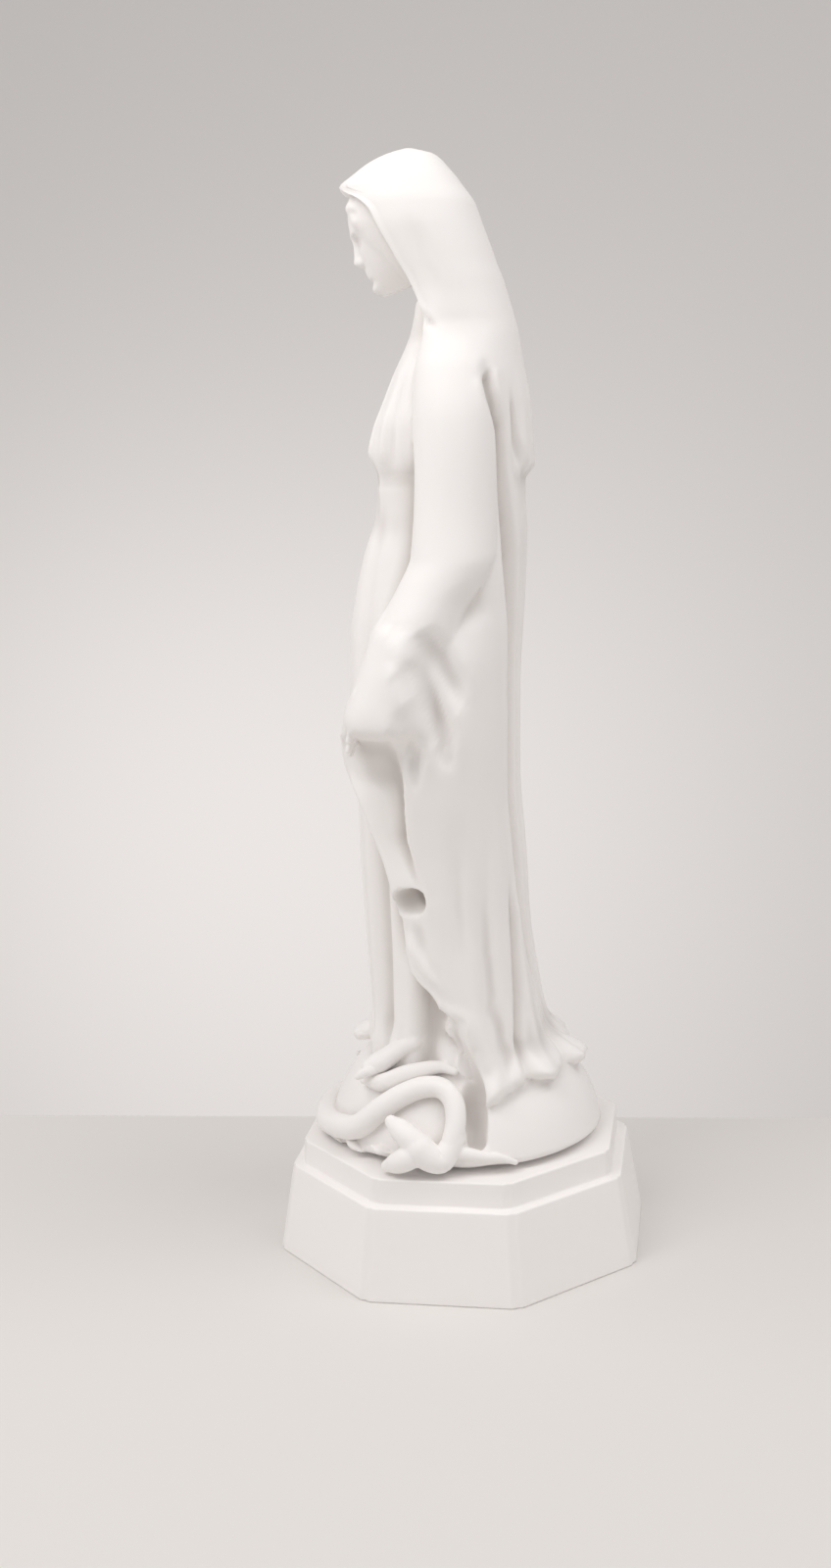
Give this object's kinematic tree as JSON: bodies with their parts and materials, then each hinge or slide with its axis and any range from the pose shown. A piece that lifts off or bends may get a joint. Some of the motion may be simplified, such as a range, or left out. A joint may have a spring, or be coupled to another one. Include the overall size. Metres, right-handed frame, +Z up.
{
  "type": "virgin mary statue",
  "caption": "Standing robed figure in a hooded mantle, hands held low and open, on a globe with a serpent, on a stepped octagonal plinth.",
  "frame": {"origin": "centre of the plinth's flat underside", "axes": "+Z up through the figure, -Y the way the figure faces, +X the figure's left"},
  "size_m": [0.1, 0.1, 0.298],
  "materials": {
    "figure": "matte",
    "plinth": "matte"
  },
  "bodies": {
    "root": {"figure": "figure", "plinth": "plinth"}
  },
  "joints": []
}
